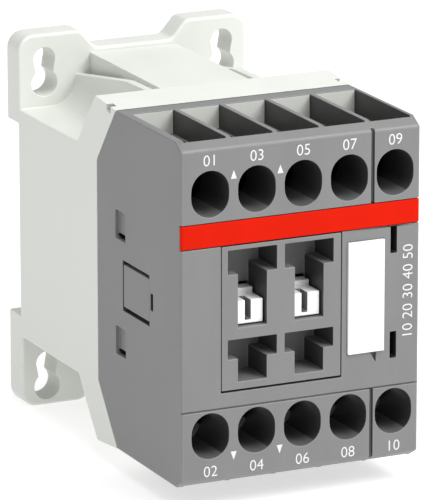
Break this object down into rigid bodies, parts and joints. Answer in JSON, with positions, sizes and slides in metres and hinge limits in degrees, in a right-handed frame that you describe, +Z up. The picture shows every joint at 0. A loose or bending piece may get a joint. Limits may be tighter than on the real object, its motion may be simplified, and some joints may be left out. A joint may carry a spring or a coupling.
{
  "type": "din rail contactor",
  "caption": "Compact contactor for a mounting rail: dark grey front with screw terminals and attachment openings, light grey rear shell with feet and rail channel.",
  "frame": {"origin": "middle of the seat that rests against the mounting rail, on the case's centre plane", "axes": "+X to the right seen from the front, +Y to the rear towards the rail, +Z up"},
  "size_m": [0.045, 0.0749, 0.0692],
  "materials": {
    "dark_plastic": "dark grey moulded plastic with a fine eroded texture",
    "light_plastic": "light grey moulded plastic",
    "band_plastic": "red plastic strip, half gloss",
    "white_plastic": "white moulded plastic",
    "black_plastic": "black glass-filled plastic",
    "zinc_steel": "zinc-plated steel",
    "plated_copper": "plated copper alloy with silver tips",
    "winding_wire": "enamelled copper wire",
    "laminations": "stacked steel laminations",
    "spring_steel": "bright spring wire",
    "black_rubber": "black rubber"
  },
  "bodies": {
    "case": {"front_housing": "dark_plastic", "interface_panel": "dark_plastic", "accent_band": "band_plastic", "interlock_cover_left": "dark_plastic", "interlock_cover_right": "dark_plastic", "rear_housing": "light_plastic", "fixed_core": "laminations", "shading_ring_top": "plated_copper", "shading_ring_bottom": "plated_copper", "coil_bobbin": "black_plastic", "coil_winding": "winding_wire", "core_cushion": "black_rubber", "fixed_contact_top_1": "plated_copper", "fixed_contact_top_2": "plated_copper", "fixed_contact_top_3": "plated_copper", "fixed_contact_top_4": "plated_copper", "fixed_contact_bottom_1": "plated_copper", "fixed_contact_bottom_2": "plated_copper", "fixed_contact_bottom_3": "plated_copper", "fixed_contact_bottom_4": "plated_copper", "coil_terminal_top": "plated_copper", "coil_terminal_bottom": "plated_copper", "return_spring_left": "spring_steel", "return_spring_right": "spring_steel", "rail_latch_spring": "spring_steel"},
    "carrier": {"contact_carrier": "white_plastic", "armature": "laminations", "armature_pin": "zinc_steel", "contact_spring_1": "spring_steel", "contact_spring_2": "spring_steel", "contact_spring_3": "spring_steel", "contact_spring_4": "spring_steel"},
    "bridge_1": {"moving_bridge_1": "plated_copper"},
    "bridge_2": {"moving_bridge_2": "plated_copper"},
    "bridge_3": {"moving_bridge_3": "plated_copper"},
    "bridge_4": {"moving_bridge_4": "plated_copper"},
    "latch": {"rail_latch": "black_plastic"},
    "marker": {"marker_plate": "white_plastic"},
    "clamp_top_1": {"terminal_clamp_top_1": "zinc_steel"},
    "screw_top_1": {"terminal_screw_top_1": "zinc_steel"},
    "clamp_top_2": {"terminal_clamp_top_2": "zinc_steel"},
    "screw_top_2": {"terminal_screw_top_2": "zinc_steel"},
    "clamp_top_3": {"terminal_clamp_top_3": "zinc_steel"},
    "screw_top_3": {"terminal_screw_top_3": "zinc_steel"},
    "clamp_top_4": {"terminal_clamp_top_4": "zinc_steel"},
    "screw_top_4": {"terminal_screw_top_4": "zinc_steel"},
    "clamp_top_5": {"terminal_clamp_top_5": "zinc_steel"},
    "screw_top_5": {"terminal_screw_top_5": "zinc_steel"},
    "clamp_bottom_1": {"terminal_clamp_bottom_1": "zinc_steel"},
    "screw_bottom_1": {"terminal_screw_bottom_1": "zinc_steel"},
    "clamp_bottom_2": {"terminal_clamp_bottom_2": "zinc_steel"},
    "screw_bottom_2": {"terminal_screw_bottom_2": "zinc_steel"},
    "clamp_bottom_3": {"terminal_clamp_bottom_3": "zinc_steel"},
    "screw_bottom_3": {"terminal_screw_bottom_3": "zinc_steel"},
    "clamp_bottom_4": {"terminal_clamp_bottom_4": "zinc_steel"},
    "screw_bottom_4": {"terminal_screw_bottom_4": "zinc_steel"},
    "clamp_bottom_5": {"terminal_clamp_bottom_5": "zinc_steel"},
    "screw_bottom_5": {"terminal_screw_bottom_5": "zinc_steel"}
  },
  "joints": [
    {"name": "carrier_slide", "type": "slide", "parent": "case", "child": "carrier", "axis": [0, 1, 0], "range_m": [0, 0.0045], "stiffness_N_per_m": 1800, "springref_m": -0.003, "deforming": ["return_spring_left", "return_spring_right"]},
    {"name": "bridge_slide_1", "type": "slide", "parent": "carrier", "child": "bridge_1", "axis": [0, 1, 0], "range_m": [-0.0016, 0], "deforming": ["contact_spring_1"]},
    {"name": "bridge_slide_2", "type": "slide", "parent": "carrier", "child": "bridge_2", "axis": [0, 1, 0], "range_m": [-0.0016, 0], "deforming": ["contact_spring_2"]},
    {"name": "bridge_slide_3", "type": "slide", "parent": "carrier", "child": "bridge_3", "axis": [0, 1, 0], "range_m": [-0.0016, 0], "deforming": ["contact_spring_3"]},
    {"name": "bridge_slide_4", "type": "slide", "parent": "carrier", "child": "bridge_4", "axis": [0, 1, 0], "range_m": [-0.0016, 0], "deforming": ["contact_spring_4"]},
    {"name": "latch_slide", "type": "slide", "parent": "case", "child": "latch", "axis": [0, 0, -1], "range_m": [0, 0.0035], "stiffness_N_per_m": 1200, "springref_m": -0.002, "deforming": ["rail_latch_spring"]},
    {"name": "marker_slide", "type": "slide", "parent": "case", "child": "marker", "axis": [0, -1, 0], "range_m": [0, 0.004]},
    {"name": "clamp_slide_top_1", "type": "slide", "parent": "case", "child": "clamp_top_1", "axis": [0, -1, 0], "range_m": [0, 0.0025]},
    {"name": "screw_turn_top_1", "type": "hinge", "parent": "clamp_top_1", "child": "screw_top_1", "pos_m": [-0.0171, -0.0548, 0.02125], "axis": [0, -1, 0], "range_deg": [0, 1440]},
    {"name": "clamp_slide_top_2", "type": "slide", "parent": "case", "child": "clamp_top_2", "axis": [0, -1, 0], "range_m": [0, 0.0025]},
    {"name": "screw_turn_top_2", "type": "hinge", "parent": "clamp_top_2", "child": "screw_top_2", "pos_m": [-0.00839, -0.0548, 0.02125], "axis": [0, -1, 0], "range_deg": [0, 1440]},
    {"name": "clamp_slide_top_3", "type": "slide", "parent": "case", "child": "clamp_top_3", "axis": [0, -1, 0], "range_m": [0, 0.0025]},
    {"name": "screw_turn_top_3", "type": "hinge", "parent": "clamp_top_3", "child": "screw_top_3", "pos_m": [0.00032, -0.0548, 0.02125], "axis": [0, -1, 0], "range_deg": [0, 1440]},
    {"name": "clamp_slide_top_4", "type": "slide", "parent": "case", "child": "clamp_top_4", "axis": [0, -1, 0], "range_m": [0, 0.0025]},
    {"name": "screw_turn_top_4", "type": "hinge", "parent": "clamp_top_4", "child": "screw_top_4", "pos_m": [0.00903, -0.0548, 0.02125], "axis": [0, -1, 0], "range_deg": [0, 1440]},
    {"name": "clamp_slide_top_5", "type": "slide", "parent": "case", "child": "clamp_top_5", "axis": [0, -1, 0], "range_m": [0, 0.0025]},
    {"name": "screw_turn_top_5", "type": "hinge", "parent": "clamp_top_5", "child": "screw_top_5", "pos_m": [0.01774, -0.0548, 0.02125], "axis": [0, -1, 0], "range_deg": [0, 1440]},
    {"name": "clamp_slide_bottom_1", "type": "slide", "parent": "case", "child": "clamp_bottom_1", "axis": [0, -1, 0], "range_m": [0, 0.0025]},
    {"name": "screw_turn_bottom_1", "type": "hinge", "parent": "clamp_bottom_1", "child": "screw_bottom_1", "pos_m": [-0.0171, -0.0548, -0.02125], "axis": [0, -1, 0], "range_deg": [0, 1440]},
    {"name": "clamp_slide_bottom_2", "type": "slide", "parent": "case", "child": "clamp_bottom_2", "axis": [0, -1, 0], "range_m": [0, 0.0025]},
    {"name": "screw_turn_bottom_2", "type": "hinge", "parent": "clamp_bottom_2", "child": "screw_bottom_2", "pos_m": [-0.00839, -0.0548, -0.02125], "axis": [0, -1, 0], "range_deg": [0, 1440]},
    {"name": "clamp_slide_bottom_3", "type": "slide", "parent": "case", "child": "clamp_bottom_3", "axis": [0, -1, 0], "range_m": [0, 0.0025]},
    {"name": "screw_turn_bottom_3", "type": "hinge", "parent": "clamp_bottom_3", "child": "screw_bottom_3", "pos_m": [0.00032, -0.0548, -0.02125], "axis": [0, -1, 0], "range_deg": [0, 1440]},
    {"name": "clamp_slide_bottom_4", "type": "slide", "parent": "case", "child": "clamp_bottom_4", "axis": [0, -1, 0], "range_m": [0, 0.0025]},
    {"name": "screw_turn_bottom_4", "type": "hinge", "parent": "clamp_bottom_4", "child": "screw_bottom_4", "pos_m": [0.00903, -0.0548, -0.02125], "axis": [0, -1, 0], "range_deg": [0, 1440]},
    {"name": "clamp_slide_bottom_5", "type": "slide", "parent": "case", "child": "clamp_bottom_5", "axis": [0, -1, 0], "range_m": [0, 0.0025]},
    {"name": "screw_turn_bottom_5", "type": "hinge", "parent": "clamp_bottom_5", "child": "screw_bottom_5", "pos_m": [0.01774, -0.0548, -0.02125], "axis": [0, -1, 0], "range_deg": [0, 1440]}
  ],
  "couplings": [
    {"joint": "bridge_slide_1", "follows": "carrier_slide", "ratio": -0.33333},
    {"joint": "bridge_slide_2", "follows": "carrier_slide", "ratio": -0.33333},
    {"joint": "bridge_slide_3", "follows": "carrier_slide", "ratio": -0.33333},
    {"joint": "bridge_slide_4", "follows": "carrier_slide", "ratio": -0.33333}
  ]
}
